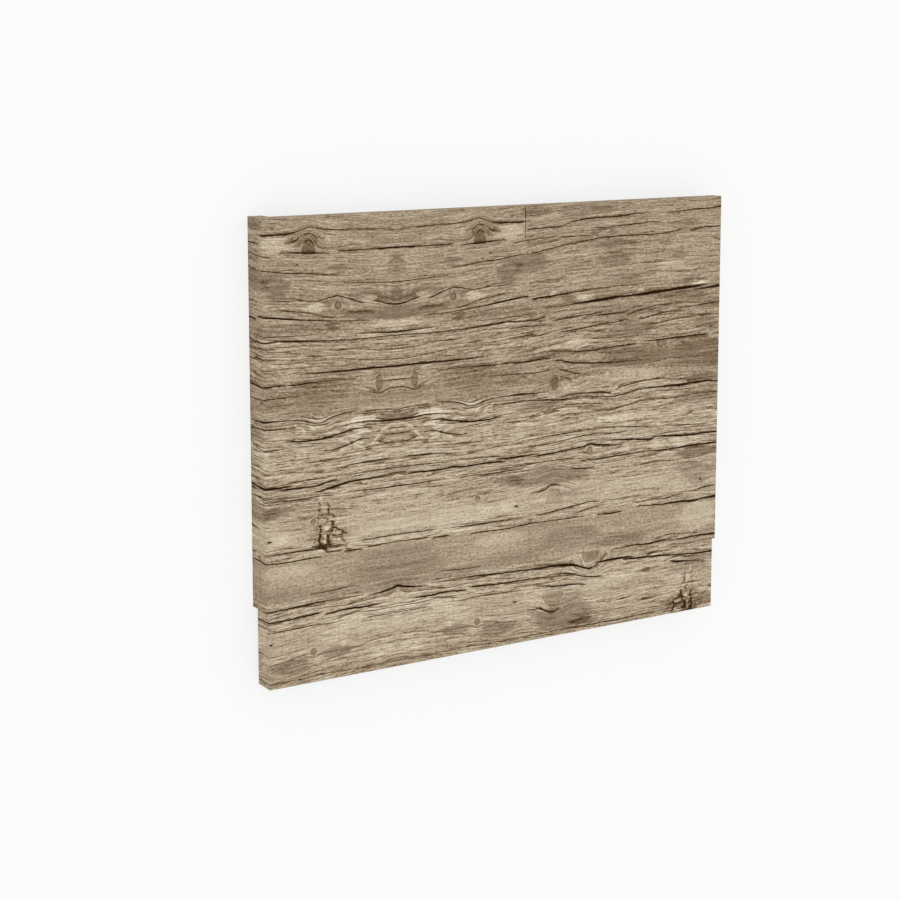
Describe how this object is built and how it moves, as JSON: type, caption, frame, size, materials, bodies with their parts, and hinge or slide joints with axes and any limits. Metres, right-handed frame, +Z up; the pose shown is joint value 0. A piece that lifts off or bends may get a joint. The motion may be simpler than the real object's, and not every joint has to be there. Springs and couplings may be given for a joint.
{
  "type": "bath end panel",
  "caption": "Flat bath end panel in rustic driftwood-pine decor, a board with a return folded back at its left end and a slightly set-back plinth below it.",
  "frame": {"origin": "middle of the bounding box, on the floor the panel lies on", "axes": "+X along the width away from the return, +Y towards the upper edge, +Z up out of the decor face"},
  "size_m": [0.68, 0.562, 0.037],
  "materials": {
    "panel_decor_board": "matt foil printed with weathered pine, plain backing on the rear",
    "plinth_decor_board": "matt foil printed with weathered pine, plain backing on the rear"
  },
  "bodies": {
    "root": {"front_panel": "panel_decor_board", "plinth": "plinth_decor_board"}
  },
  "joints": []
}
